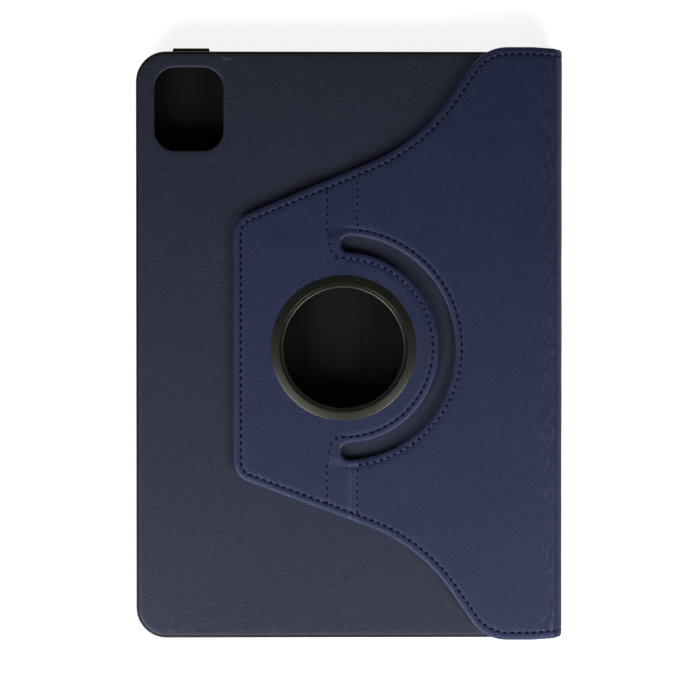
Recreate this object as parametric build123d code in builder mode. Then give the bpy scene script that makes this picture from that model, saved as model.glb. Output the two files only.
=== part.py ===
from build123d import *
import os
from math import atan2, hypot, pi, tan

# A rotating folio case for an 11-inch class tablet, closed and lying on its front cover.
# +X is the spine edge, +Y the top edge of the tablet and +Z goes up out of the back flap.
# The origin is the middle of the footprint, on the surface that the case lies on.
# From the surface up: front cover, tray (open side down, where the screen is), back flap.

os.makedirs("parts", exist_ok=True)

# ---- Driving dimensions, mm ---------------------------------------------------------------

# The tablet that the tray holds
tablet_width = 178.5
tablet_height = 247.6
tablet_thickness = 6.1
tablet_fit = 0.25  # all round, and half of it on the thickness

# Tray: a moulded shell with a leather-faced back
side_wall = 1.3
end_wall = 2.2
tray_corner = 13.0
lip_thickness = 1.0
lip_reach = 2.2  # over the edge of the glass
tray_back = 1.1
tray_lining_thickness = 0.4
back_skin_thickness = 0.7
back_skin_inset = 1.2  # the black rim that shows round the leather
edge_round = 0.6

# Camera window, from the tray's free edge and its top edge to its middle
camera_width = 29.7
camera_height = 35.9
camera_corner = 9.0
camera_from_side = 22.8
camera_from_top = 24.8

# Openings in the tray's end walls
port_width = 13.0
port_height = 4.8
speaker_width = 30.0
speaker_height = 3.2
speaker_from_middle = 38.0

# Buttons moulded into the tray's walls
power_width = 17.2
power_height = 5.0
power_proud = 1.5
power_from_side = 23.7
volume_length = 11.0
volume_height = 4.4
volume_from_top = 46.0
volume_pitch = 14.0
button_gap = 0.3
button_corner = 1.2

# Leather, board and lining
skin_thickness = 0.8
board_thickness = 1.4
cover_lining_thickness = 0.6
flap_lining_thickness = 0.5
board_gap = 0.05  # between a board and the skin turned over its edge

# Front cover
cover_inset = 0.7  # the tray hides the cover's free edge
cover_end_inset = 0.3
rib_width = 24.1
rib_height = 0.6
rib_pitch = 36.0
rib_from_hub = 4.1  # middle of the first rib, towards the free edge
rib_end_margin = 14.0
rib_count = 2
rib_round = 0.25
magnet_length = 10.0
magnet_width = 5.0
magnet_thickness = 1.2
magnet_pitch = 44.0
magnet_from_edge = 8.0
magnet_count = 4
magnet_gap = 0.05

# Soft spine
spine_gap = 0.9  # from the tray to the spine's lining
spine_end_inset = 1.2  # the spine is this much shorter than the flap at each end
crease_radius = 4.5  # outer radius of both soft bends

# Space between what turns or opens
cover_gap = 0.3  # from the ribs to the tray
slip_gap = 0.5  # from the tray's leather to the flap's lining

# Back flap: a tongue round the hub that widens to the spine
flap_overhang = 1.35  # past the tray at the top and the bottom
tray_drop = 0.5  # the tray's middle lies this much below the flap's
tongue_reach = 47.3  # from the hub to the free edge
tongue_half_height = 55.3
tongue_corner = 9.5
knee_from_hub = 32.7
knee_drop = 40.6  # below the flap's top edge
knee_radius = 110.0
shoulder_from_spine = 34.1
shoulder_radius = 20.0
corner_from_spine = 13.0
corner_drop = 0.9
corner_radius = 20.0
fold_left = 8.6  # edge of the hub's board, from the hub towards the free edge
fold_right = 7.5  # edge of the flap's board, from the hub towards the spine

# C-shaped slot round the hub, open towards the free edge
slot_radius = 44.7
slot_width = 7.0
slot_start = -87.0
slot_sweep = 174.0

# Hub
hub_offset_x = -1.6  # from the tray's middle
hub_offset_y = -1.2
hub_bore_radius = 25.9
rotor_wall = 1.2
rotor_flange_reach = 1.8
rotor_flange_thickness = 0.8
rotor_foot_reach = 5.9  # from the sleeve to the foot's edge
rotor_lip_drop = 0.5  # below the bezel's crown
running_gap = 0.25
skirt_wall = 1.05
bezel_overlap = 1.0
bezel_proud = 1.1
bezel_edge = 0.25  # upright edge at the bezel's rim
retainer_plate = 0.4
retainer_step = 0.9  # height of the retainer's inner wall
retainer_reach = 2.4  # past the skirt
seat_gap = 0.05
washer_gap = 1.0  # from the rotor's foot
washer_width = 5.5
washer_thickness = 0.3
rivet_count = 6
rivet_reach = 3.1  # from the sleeve to the rivets
rivet_radius = 0.8
rivet_head_radius = 1.4
rivet_head = 0.25

# ---- Levels, from the surface up ---------------------------------------------------------

cover_board_bottom = skin_thickness
cover_lining_bottom = cover_board_bottom + board_thickness
cover_top = cover_lining_bottom + cover_lining_thickness
tray_bottom = cover_top + rib_height + cover_gap
pocket_bottom = tray_bottom + lip_thickness
tray_lining_bottom = pocket_bottom + tablet_thickness + tablet_fit / 2
tray_back_bottom = tray_lining_bottom + tray_lining_thickness
back_skin_bottom = tray_back_bottom + tray_back
back_skin_top = back_skin_bottom + back_skin_thickness
flap_bottom = back_skin_top + slip_gap
flap_board_bottom = flap_bottom + flap_lining_thickness
flap_skin_bottom = flap_board_bottom + board_thickness
flap_top = flap_skin_bottom + skin_thickness
pocket_middle = (pocket_bottom + tray_lining_bottom) / 2

# ---- Places in plan ----------------------------------------------------------------------

pocket_width = tablet_width + 2 * tablet_fit
pocket_height = tablet_height + 2 * tablet_fit
tray_width = pocket_width + 2 * side_wall
tray_height = pocket_height + 2 * end_wall
spine_thickness = skin_thickness + flap_lining_thickness
case_width = tray_width + spine_gap + spine_thickness
flap_half_height = tray_height / 2 + flap_overhang
spine_outside = case_width / 2
tray_left = -case_width / 2
tray_x = tray_left + tray_width / 2
tray_y = -tray_drop
tray_top = tray_y + tray_height / 2
tray_foot = tray_y - tray_height / 2
pocket_corner = tray_corner - side_wall
hub_x = tray_x + hub_offset_x
hub_y = tray_y + hub_offset_y
camera_x = tray_left + camera_from_side
camera_y = tray_top - camera_from_top
cover_left = tray_left + cover_inset
cover_height = tray_height - 2 * cover_end_inset
crease_x = spine_outside - crease_radius
spine_half_height = flap_half_height - spine_end_inset
rib_half_height = cover_height / 2 - rib_end_margin
past_crease = 5.0  # outlines run this far past the crease before they are cut off there
board_inset = skin_thickness + board_gap

# A soft bend of this outer radius, laid flat, turns the spine about a line this far in from
# both outer faces, so that the skin keeps its length.
pivot_depth = crease_radius * (1 - pi / 4)


# ---- Outlines ----------------------------------------------------------------------------


def fitting_radius(before, corner, after, wanted):
    """The wanted radius at a corner, or the largest that its two runs leave room for."""
    runs = [(p[0] - corner[0], p[1] - corner[1]) for p in (before, after)]
    shorter = min(hypot(*run) for run in runs)
    turn = abs(atan2(runs[1][1], runs[1][0]) - atan2(-runs[0][1], -runs[0][0]))
    turn = min(turn, 2 * pi - turn)
    return min(wanted, 0.48 * shorter / tan(turn / 2))


def past_crease_cut():
    """What lies beyond the crease, taken away from the sketch that is open."""
    with Locations((crease_x + case_width / 2, 0)):
        Rectangle(case_width, 2 * case_width + tray_height, mode=Mode.SUBTRACT)


def flap_outline(inset):
    """The back flap from above, drawn in by inset and cut off at the crease."""
    end = crease_x + past_crease
    upper = [
        (end, flap_half_height - corner_drop),
        (spine_outside - corner_from_spine, flap_half_height),
        (spine_outside - shoulder_from_spine, flap_half_height),
        (hub_x + knee_from_hub, flap_half_height - knee_drop),
        (hub_x - tongue_reach, hub_y + tongue_half_height),
    ]
    lower = [
        (hub_x - tongue_reach, hub_y - tongue_half_height),
        (hub_x + knee_from_hub, knee_drop - flap_half_height),
        (spine_outside - shoulder_from_spine, -flap_half_height),
        (spine_outside - corner_from_spine, -flap_half_height),
        (end, corner_drop - flap_half_height),
    ]
    points = upper + lower
    half = [corner_radius, shoulder_radius, knee_radius, tongue_corner]
    wanted = half + half[::-1]
    radii = [
        fitting_radius(*points[n : n + 3], radius) for n, radius in enumerate(wanted)
    ]
    with BuildSketch() as outline:
        with BuildLine():
            FilletPolyline(*points, radius=radii)
            Line(points[-1], points[0])
        make_face()
        if inset:
            offset(amount=-inset, mode=Mode.REPLACE)
        past_crease_cut()
    return outline.sketch


def cover_outline(inset):
    """The front cover from above, drawn in by inset and cut off at the crease."""
    width = crease_x + past_crease + tray_corner - cover_left
    with BuildSketch() as outline:
        with Locations((cover_left + width / 2, tray_y)):
            RectangleRounded(
                width - 2 * inset, cover_height - 2 * inset, tray_corner - inset
            )
        past_crease_cut()
    return outline.sketch


def slot_outline(margin):
    """The C-shaped slot, wider all round by margin."""
    with BuildSketch() as outline:
        middle = CenterArc((hub_x, hub_y), slot_radius, slot_start, slot_sweep)
        SlotArc(middle, slot_width + 2 * margin)
    return outline.sketch


def disc(radius):
    """A disc round the hub's axis."""
    with BuildSketch() as outline:
        with Locations((hub_x, hub_y)):
            Circle(radius)
    return outline.sketch


def tray_outline(inset, corner):
    """A rounded rectangle, inset from the tray's outer faces."""
    with BuildSketch() as outline:
        with Locations((tray_x, tray_y)):
            RectangleRounded(tray_width - 2 * inset, tray_height - 2 * inset, corner)
    return outline.sketch


def pocket_outline(reach):
    """The tablet's pocket, or with a reach the opening that the lips leave."""
    with BuildSketch() as outline:
        with Locations((tray_x, tray_y)):
            RectangleRounded(
                pocket_width - 2 * reach, pocket_height - 2 * reach, pocket_corner - reach
            )
    return outline.sketch


def camera_outline():
    """The camera window."""
    with BuildSketch() as outline:
        with Locations((camera_x, camera_y)):
            RectangleRounded(camera_width, camera_height, camera_corner)
    return outline.sketch


def finish(piece, name):
    """Label a sub-part and write its STEP file."""
    piece.part.label = name
    export_step(piece.part, f"parts/{name}.step")


# ---- Front cover -------------------------------------------------------------------------

# Leather, turned up over the edge of the board on three sides
with BuildPart() as cover_skin:
    with BuildSketch():
        add(cover_outline(0))
    extrude(amount=cover_top)
    with BuildSketch(Plane.XY.offset(cover_board_bottom)):
        add(cover_outline(skin_thickness))
    extrude(amount=cover_top - cover_board_bottom, mode=Mode.SUBTRACT)
finish(cover_skin, "cover_skin")

magnet_x = cover_left + magnet_from_edge


def magnet_outline(gap):
    """The row of magnets from above, each wider all round by gap."""
    with BuildSketch() as outline:
        with Locations((magnet_x, tray_y)):
            with GridLocations(0, magnet_pitch, 1, magnet_count):
                Rectangle(magnet_width + 2 * gap, magnet_length + 2 * gap)
    return outline.sketch


# Stiff board, with a pocket for each magnet
with BuildPart() as cover_board:
    with BuildSketch(Plane.XY.offset(cover_board_bottom)):
        add(cover_outline(board_inset))
        add(magnet_outline(magnet_gap), mode=Mode.SUBTRACT)
    extrude(amount=board_thickness)
finish(cover_board, "cover_board")

# Magnets that put the tablet to sleep
with BuildPart() as sleep_magnets:
    with BuildSketch(Plane.XY.offset(cover_board_bottom)):
        add(magnet_outline(0))
    extrude(amount=magnet_thickness)
finish(sleep_magnets, "sleep_magnets")

with BuildPart() as cover_lining:
    with BuildSketch(Plane.XY.offset(cover_lining_bottom)):
        add(cover_outline(board_inset))
    extrude(amount=cover_lining_thickness)
finish(cover_lining, "cover_lining")

# Padded ribs that hold the tray's long edge when the case is a stand
for number in range(rib_count):
    rib_x = hub_x - rib_from_hub - number * rib_pitch
    with BuildPart() as stand_rib:
        with Locations((rib_x, tray_y, cover_top + rib_height / 2)):
            Box(rib_width, 2 * rib_half_height, rib_height)
        fillet(stand_rib.edges().group_by(Axis.Z)[-1], rib_round)
    finish(stand_rib, f"stand_rib_{number + 1}")

# ---- Spine -------------------------------------------------------------------------------

upper_bend_z = flap_top - crease_radius

with BuildPart() as spine_skin:
    with BuildSketch(Plane.XZ):
        with Locations((spine_outside - skin_thickness / 2, flap_top / 2)):
            Rectangle(skin_thickness, upper_bend_z - crease_radius)
    extrude(amount=spine_half_height, both=True)
finish(spine_skin, "spine_skin")


def bend_profile(depth, thickness, height, quarter):
    """A quarter ring in the XZ plane: a layer that lies depth inside the outer face."""
    outer = crease_radius - depth
    with BuildSketch() as outline:
        with Locations((crease_x, height)):
            Circle(outer)
            Circle(outer - thickness, mode=Mode.SUBTRACT)
        corner = (crease_x + outer, height + quarter * outer)
        with Locations(((crease_x + corner[0]) / 2, (height + corner[1]) / 2)):
            Rectangle(outer, outer, mode=Mode.INTERSECT)
    return outline.sketch


# The leather's soft bends, from the cover to the spine and from the spine to the flap
for name, height, quarter in (
    ("cover_crease", crease_radius, -1),
    ("flap_crease", upper_bend_z, 1),
):
    with BuildPart() as crease:
        with BuildSketch(Plane.XZ):
            add(bend_profile(0, skin_thickness, height, quarter))
        extrude(amount=spine_half_height, both=True)
    finish(crease, name)

with BuildPart() as spine_lining:
    with BuildSketch(Plane.XZ):
        layer = flap_lining_thickness
        with Locations((spine_outside - skin_thickness - layer / 2, flap_top / 2)):
            Rectangle(layer, upper_bend_z - crease_radius)
        add(bend_profile(skin_thickness, layer, crease_radius, -1))
        add(bend_profile(skin_thickness, layer, upper_bend_z, 1))
    extrude(amount=spine_half_height, both=True)
finish(spine_lining, "spine_lining")

# ---- Back flap ---------------------------------------------------------------------------

skirt_inner_radius = hub_bore_radius + rotor_wall + rotor_flange_reach + running_gap
skirt_outer_radius = skirt_inner_radius + skirt_wall
plate_hole_radius = skirt_outer_radius + seat_gap
turning_radius = hub_bore_radius + rotor_wall + running_gap
rotor_foot_radius = hub_bore_radius + rotor_wall + rotor_foot_reach
rivet_circle_radius = hub_bore_radius + rotor_wall + rivet_reach
retainer_radius = skirt_outer_radius + retainer_reach
washer_inner_radius = rotor_foot_radius + washer_gap
washer_outer_radius = washer_inner_radius + washer_width

# Leather, turned down over the boards along its own edge and round the slot
with BuildPart() as flap_skin:
    with BuildSketch(Plane.XY.offset(flap_bottom)):
        add(flap_outline(0))
        add(slot_outline(0), mode=Mode.SUBTRACT)
        add(disc(plate_hole_radius), mode=Mode.SUBTRACT)
    extrude(amount=flap_top - flap_bottom)
    with BuildSketch(Plane.XY.offset(flap_bottom)):
        add(flap_outline(skin_thickness))
        add(slot_outline(skin_thickness), mode=Mode.SUBTRACT)
    extrude(amount=flap_skin_bottom - flap_bottom, mode=Mode.SUBTRACT)
finish(flap_skin, "flap_skin")

# The board that carries the hub: the free end of the tongue, and the disc inside the slot
with BuildPart() as hub_board:
    with BuildSketch(Plane.XY.offset(flap_board_bottom)):
        add(flap_outline(board_inset))
        with Locations((hub_x - fold_left + case_width / 2, 0)):
            Rectangle(case_width, 3 * flap_half_height, mode=Mode.SUBTRACT)
        add(disc(slot_radius - slot_width / 2 - board_inset))
        add(slot_outline(board_inset), mode=Mode.SUBTRACT)
        add(disc(plate_hole_radius), mode=Mode.SUBTRACT)
    extrude(amount=board_thickness)
finish(hub_board, "hub_board")

# The board between the fold and the spine
with BuildPart() as flap_board:
    with BuildSketch(Plane.XY.offset(flap_board_bottom)):
        add(flap_outline(board_inset))
        with Locations((hub_x + fold_right - case_width / 2, 0)):
            Rectangle(case_width, 3 * flap_half_height, mode=Mode.SUBTRACT)
        add(disc(slot_radius + slot_width / 2 + board_inset), mode=Mode.SUBTRACT)
    extrude(amount=board_thickness)
finish(flap_board, "flap_board")

with BuildPart() as flap_lining:
    with BuildSketch(Plane.XY.offset(flap_bottom)):
        add(flap_outline(board_inset))
        add(slot_outline(board_inset), mode=Mode.SUBTRACT)
        add(disc(retainer_radius + seat_gap), mode=Mode.SUBTRACT)
    extrude(amount=flap_lining_thickness)
finish(flap_lining, "flap_lining")

# ---- Hub, from the tray outwards ---------------------------------------------------------

rotor_outer_radius = hub_bore_radius + rotor_wall
rotor_flange_radius = rotor_outer_radius + rotor_flange_reach
skirt_bottom = flap_bottom + retainer_plate
retainer_top = flap_bottom + retainer_step
rotor_flange_bottom = retainer_top + running_gap
rotor_flange_top = rotor_flange_bottom + rotor_flange_thickness
bezel_ledge = rotor_flange_top + running_gap
bezel_radius = plate_hole_radius + bezel_overlap
bezel_crown = flap_top + bezel_proud
rotor_top = bezel_crown - rotor_lip_drop
hub_plane = Plane(origin=(hub_x, hub_y, 0), x_dir=(1, 0, 0), z_dir=(0, -1, 0))
hub_axis = Axis((hub_x, hub_y, 0), (0, 0, 1))

# The rotor is fixed to the tray: a sleeve with a foot, a hidden flange and a rounded lip
with BuildPart() as hub_rotor:
    with BuildSketch(hub_plane):
        with BuildLine():
            Polyline(
                (rotor_outer_radius, rotor_top - rotor_wall / 2),
                (rotor_outer_radius, rotor_flange_top),
                (rotor_flange_radius, rotor_flange_top),
                (rotor_flange_radius, rotor_flange_bottom),
                (rotor_outer_radius, rotor_flange_bottom),
                (rotor_outer_radius, back_skin_top),
                (rotor_foot_radius, back_skin_top),
                (rotor_foot_radius, back_skin_bottom),
                (hub_bore_radius, back_skin_bottom),
                (hub_bore_radius, rotor_top - rotor_wall / 2),
            )
            ThreePointArc(
                (hub_bore_radius, rotor_top - rotor_wall / 2),
                (hub_bore_radius + rotor_wall / 2, rotor_top),
                (rotor_outer_radius, rotor_top - rotor_wall / 2),
            )
        make_face()
    revolve(axis=hub_axis)
    with Locations((hub_x, hub_y, back_skin_bottom)):
        with PolarLocations(rivet_circle_radius, rivet_count):
            Cylinder(
                rivet_radius,
                2 * (back_skin_top - back_skin_bottom),
                mode=Mode.SUBTRACT,
            )
finish(hub_rotor, "hub_rotor")

# Rivets that hold the rotor's foot to the tray's back
with BuildPart() as hub_rivets:
    with BuildSketch(Plane.XY.offset(tray_back_bottom - rivet_head)):
        with Locations((hub_x, hub_y)):
            with PolarLocations(rivet_circle_radius, rivet_count):
                Circle(rivet_head_radius)
    extrude(amount=rivet_head)
    with BuildSketch(Plane.XY.offset(tray_back_bottom)):
        with Locations((hub_x, hub_y)):
            with PolarLocations(rivet_circle_radius, rivet_count):
                Circle(rivet_radius)
    extrude(amount=back_skin_top - tray_back_bottom)
    with BuildSketch(Plane.XY.offset(back_skin_top)):
        with Locations((hub_x, hub_y)):
            with PolarLocations(rivet_circle_radius, rivet_count):
                Circle(rivet_head_radius)
    extrude(amount=rivet_head)
finish(hub_rivets, "hub_rivets")

# The bezel is fixed to the flap: a crowned ring with a skirt down through the boards
with BuildPart() as hub_bezel:
    with BuildSketch(hub_plane):
        with BuildLine():
            Polyline(
                (turning_radius, rotor_top),
                (turning_radius, bezel_ledge),
                (skirt_inner_radius, bezel_ledge),
                (skirt_inner_radius, skirt_bottom),
                (skirt_outer_radius, skirt_bottom),
                (skirt_outer_radius, flap_top),
                (bezel_radius, flap_top),
                (bezel_radius, flap_top + bezel_edge),
            )
            ThreePointArc(
                (bezel_radius, flap_top + bezel_edge),
                ((turning_radius + bezel_radius) / 2, bezel_crown),
                (turning_radius, rotor_top),
            )
        make_face()
    revolve(axis=hub_axis)
finish(hub_bezel, "hub_bezel")

# The retainer closes the bezel from below and catches the rotor's flange
with BuildPart() as hub_retainer:
    with BuildSketch(hub_plane):
        with BuildLine():
            Polyline(
                (turning_radius, flap_bottom),
                (retainer_radius, flap_bottom),
                (retainer_radius, skirt_bottom),
                (skirt_inner_radius - seat_gap, skirt_bottom),
                (skirt_inner_radius - seat_gap, retainer_top),
                (turning_radius, retainer_top),
                close=True,
            )
        make_face()
    revolve(axis=hub_axis)
finish(hub_retainer, "hub_retainer")

# Low-friction washer between the tray's leather and the flap's lining
with BuildPart() as slip_washer:
    with BuildSketch(Plane.XY.offset(back_skin_top)):
        add(disc(washer_outer_radius))
        add(disc(washer_inner_radius), mode=Mode.SUBTRACT)
    extrude(amount=washer_thickness)
finish(slip_washer, "slip_washer")

# ---- Tray --------------------------------------------------------------------------------

power_x = tray_left + power_from_side
volume_middle_y = tray_top - volume_from_top
volume_sides = {"volume_up": 0.5, "volume_down": -0.5}
wall_cut = 3 * end_wall  # runs past both faces of a wall

with BuildPart() as tray_shell:
    with BuildSketch(Plane.XY.offset(tray_bottom)):
        add(tray_outline(0, tray_corner))
    extrude(amount=back_skin_bottom - tray_bottom)
    fillet(tray_shell.edges().group_by(Axis.Z)[-1], edge_round)
    fillet(tray_shell.edges().group_by(Axis.Z)[0], edge_round)
    # The pocket, the opening that the lips leave, the hub's bore and the camera window
    with BuildSketch(Plane.XY.offset(pocket_bottom)):
        add(pocket_outline(0))
    extrude(amount=tray_back_bottom - pocket_bottom, mode=Mode.SUBTRACT)
    with BuildSketch(Plane.XY.offset(tray_bottom)):
        add(pocket_outline(lip_reach))
    extrude(amount=lip_thickness, mode=Mode.SUBTRACT)
    with BuildSketch(Plane.XY.offset(tray_back_bottom)):
        add(disc(hub_bore_radius))
        add(camera_outline())
        with Locations((hub_x, hub_y)):
            with PolarLocations(rivet_circle_radius, rivet_count):
                Circle(rivet_radius)
    extrude(amount=tray_back, mode=Mode.SUBTRACT)
    # Charging port and speakers
    with BuildSketch(Plane.XZ.offset(-tray_foot)):
        with Locations((tray_x, pocket_middle)):
            SlotOverall(port_width, port_height)
    extrude(amount=wall_cut / 2, both=True, mode=Mode.SUBTRACT)
    for end in (tray_foot, tray_top):
        with BuildSketch(Plane.XZ.offset(-end)):
            for side in (-1, 1):
                with Locations((tray_x + side * speaker_from_middle, pocket_middle)):
                    SlotOverall(speaker_width, speaker_height)
        extrude(amount=wall_cut / 2, both=True, mode=Mode.SUBTRACT)
    # Windows that the buttons move in
    with BuildSketch(Plane.XZ.offset(-tray_top)):
        with Locations((power_x, pocket_middle)):
            RectangleRounded(
                power_width + 2 * button_gap,
                power_height + 2 * button_gap,
                button_corner + button_gap,
            )
    extrude(amount=wall_cut / 2, both=True, mode=Mode.SUBTRACT)
    with BuildSketch(Plane.YZ.offset(tray_left)):
        for side in volume_sides.values():
            with Locations((volume_middle_y + side * volume_pitch, pocket_middle)):
                RectangleRounded(
                    volume_length + 2 * button_gap,
                    volume_height + 2 * button_gap,
                    button_corner + button_gap,
                )
    extrude(amount=wall_cut / 2, both=True, mode=Mode.SUBTRACT)
finish(tray_shell, "tray_shell")

# Leather on the tray's back
with BuildPart() as tray_back_skin:
    with BuildSketch(Plane.XY.offset(back_skin_bottom)):
        add(tray_outline(back_skin_inset, tray_corner - back_skin_inset))
        add(camera_outline(), mode=Mode.SUBTRACT)
        add(disc(rotor_foot_radius + seat_gap), mode=Mode.SUBTRACT)
    extrude(amount=back_skin_thickness)
finish(tray_back_skin, "tray_back_skin")

# Soft lining behind the tablet
with BuildPart() as tray_lining:
    with BuildSketch(Plane.XY.offset(tray_lining_bottom)):
        add(pocket_outline(seat_gap))
        add(camera_outline(), mode=Mode.SUBTRACT)
        add(disc(rotor_foot_radius), mode=Mode.SUBTRACT)
    extrude(amount=tray_lining_thickness)
finish(tray_lining, "tray_lining")

# ---- Buttons -----------------------------------------------------------------------------

with BuildPart() as power_button:
    with BuildSketch(Plane.XZ.offset(end_wall - tray_top)):
        with Locations((power_x, pocket_middle)):
            RectangleRounded(power_width, power_height, button_corner)
    extrude(amount=-(end_wall + power_proud))
    fillet(power_button.edges().group_by(Axis.Y)[-1], power_proud / 3)
finish(power_button, "power_button")

for name, side in volume_sides.items():
    with BuildPart() as volume_button:
        with BuildSketch(Plane.YZ.offset(tray_left)):
            with Locations((volume_middle_y + side * volume_pitch, pocket_middle)):
                RectangleRounded(volume_length, volume_height, button_corner)
        extrude(amount=side_wall)
    finish(volume_button, name)
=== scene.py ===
import math
import random
from contextlib import contextmanager

import bpy
from mathutils import Matrix, Vector, noise


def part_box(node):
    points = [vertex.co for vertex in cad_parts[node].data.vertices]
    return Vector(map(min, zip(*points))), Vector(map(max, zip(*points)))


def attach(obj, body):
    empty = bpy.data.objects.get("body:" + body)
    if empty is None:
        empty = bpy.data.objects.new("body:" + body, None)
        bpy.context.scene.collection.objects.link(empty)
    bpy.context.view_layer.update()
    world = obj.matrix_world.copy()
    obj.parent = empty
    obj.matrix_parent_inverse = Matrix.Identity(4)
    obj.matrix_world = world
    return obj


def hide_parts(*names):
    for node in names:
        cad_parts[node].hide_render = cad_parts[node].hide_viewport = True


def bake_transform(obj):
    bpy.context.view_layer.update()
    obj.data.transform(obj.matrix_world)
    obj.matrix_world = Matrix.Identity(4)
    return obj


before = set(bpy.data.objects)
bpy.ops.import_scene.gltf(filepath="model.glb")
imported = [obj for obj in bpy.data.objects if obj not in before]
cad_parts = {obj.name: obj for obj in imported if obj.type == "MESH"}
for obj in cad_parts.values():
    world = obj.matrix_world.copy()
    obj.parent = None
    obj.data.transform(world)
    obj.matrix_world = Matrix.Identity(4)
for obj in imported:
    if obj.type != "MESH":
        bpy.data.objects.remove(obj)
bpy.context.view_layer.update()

# A rotating folio case for an 11-inch class tablet, closed and lying on its front cover.
# Lengths are written in millimetres and multiplied by MM. The leather is modelled flat, as it is
# cut, and then rolled round the spine, so the first coordinate of a flat sheet is the distance
# along the leather and its height is the height over the flap.

MM = 0.001

# ---- Places, from the frame --------------------------------------------------------------

flap_low, flap_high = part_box("flap_skin")
tray_low, tray_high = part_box("tray_shell")
back_low, back_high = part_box("tray_back_skin")
bezel_low, bezel_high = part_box("hub_bezel")
rotor_low, rotor_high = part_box("hub_rotor")
cover_low, cover_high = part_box("cover_skin")

hub = Vector(((bezel_low[0] + bezel_high[0]) / 2, (bezel_low[1] + bezel_high[1]) / 2))
tray_middle = Vector(((tray_low[0] + tray_high[0]) / 2, (tray_low[1] + tray_high[1]) / 2))
flap_top = flap_high[2]
flap_half = (flap_high[1] - flap_low[1]) / 2
flap_lining_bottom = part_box("flap_lining")[0][2]
pocket_lining_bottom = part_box("tray_lining")[0][2]
spine_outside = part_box("spine_skin")[1][0]
crease_x = flap_high[0]

# The spine leaves the flap at a kink of 45 degrees and bulges out to its middle
EIGHTH = math.pi / 4
kink_radius = 1.3 * MM
bulge_radius = (flap_top / 2 - kink_radius * (1 - math.cos(EIGHTH))) / math.cos(EIGHTH)
kink_x = spine_outside - kink_radius * math.sin(EIGHTH) - bulge_radius * (1 - math.sin(EIGHTH))
bulge_start = kink_x + kink_radius * EIGHTH
sheet_end = bulge_start + bulge_radius * EIGHTH

# ---- Sizes of the real pieces ------------------------------------------------------------

SKIN = 0.8 * MM
BOARD = 1.4 * MM
LINING = 0.5 * MM
LINING_INSET = 1.1 * MM
BOARD_END = 0.9 * MM  # over which the leather and lining leave a board's end
TURNED_EDGE = 1.25 * MM  # depth of the leather's turned edge round the spine

# Flap outline, as in the CAD part
TONGUE_REACH = 47.3 * MM
TONGUE_HALF_HEIGHT = 55.3 * MM
TONGUE_CORNER = 9.5 * MM
KNEE_FROM_HUB = 32.7 * MM
KNEE_DROP = 40.6 * MM
KNEE_RADIUS = 110 * MM
SHOULDER_FROM_SPINE = 34.1 * MM
SHOULDER_RADIUS = 20 * MM
CORNER_FROM_SPINE = 13 * MM
CORNER_DROP = 0.9 * MM
SPINE_DROP = 1.3 * MM
CORNER_RADIUS = 20 * MM
CORNER_PAST_CREASE = 4 * MM
COVER_CORNER = 13 * MM

# Leather left on past the spine's middle while a sheet is worked, and its corners
SPARE = 20 * MM
SPARE_CORNER = 8 * MM

SLOT_RADIUS = 44.7 * MM
SLOT_WIDTH = 7 * MM
SLOT_START = -87.0
SLOT_SWEEP = 174.0
PLATE_HOLE = 30.15 * MM

# Fold strips, either side of the slot
FOLD_LEFT = -7.1 * MM  # stitch line, from the hub
FOLD_RIGHT = 6.0 * MM
FOLD_CREASE = 3.7 * MM

STITCH_PITCH = 3.1 * MM
STITCH_LENGTH = 1.9 * MM
STITCH_WIDTH = 0.9 * MM
STITCH_THICKNESS = 0.6 * MM
STITCH_TILT = 5  # degrees, the most that one stitch leans from its line
STITCH_INSET = 3.2 * MM
SLOT_STITCH_INSET = 2.7 * MM

ARC_STEP = 1.5 * MM  # spacing of points along a curved outline
CAP_STEPS = 8  # round each end of the slot
GRID = 2.5 * MM  # spacing of points along an outline, and of cuts across the flap
LONGEST_ROUNDING = 0.48  # the most of a side that one rounded corner takes
WELD = 1e-6  # points nearer than this, in metres, are one


# ---- Small tools -------------------------------------------------------------------------


def only(obj):
    """Select one object and nothing else."""
    bpy.ops.object.select_all(action="DESELECT")
    obj.select_set(True)
    bpy.context.view_layer.objects.active = obj


@contextmanager
def editing(obj):
    """Work on the whole of one object in edit mode."""
    only(obj)
    bpy.ops.object.mode_set(mode="EDIT")
    bpy.ops.mesh.select_all(action="SELECT")
    yield
    bpy.ops.object.mode_set(mode="OBJECT")


def placed(name, data):
    """A new object in the scene, from its mesh, curve, light or camera."""
    obj = bpy.data.objects.new(name, data)
    bpy.context.scene.collection.objects.link(obj)
    return obj


def mesh_object(name, vertices, edges, faces):
    """A new object from its points, edges and faces."""
    mesh = bpy.data.meshes.new(name)
    mesh.from_pydata(vertices, edges, faces)
    return placed(name, mesh)


def block(name, low, high):
    """A box between two corners, with its place in its mesh."""
    bpy.ops.object.select_all(action="DESELECT")
    bpy.ops.mesh.primitive_cube_add(
        size=1,
        location=[(a + b) / 2 for a, b in zip(low, high)],
        scale=[b - a for a, b in zip(low, high)],
    )
    obj = bpy.context.object
    obj.name = name
    bpy.ops.object.transform_apply(location=True, rotation=True, scale=True)
    return obj


def apply_modifier(obj, kind, **settings):
    """Add a modifier with its settings and apply it."""
    only(obj)
    modifier = obj.modifiers.new(kind.lower(), kind)
    for name, value in settings.items():
        setattr(modifier, name, value)
    bpy.ops.object.modifier_apply(modifier=modifier.name)


def smooth(obj, degrees=40):
    """Shade smooth, with edges kept where faces meet at more than this angle."""
    only(obj)
    bpy.ops.object.shade_smooth_by_angle(angle=math.radians(degrees))


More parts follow.
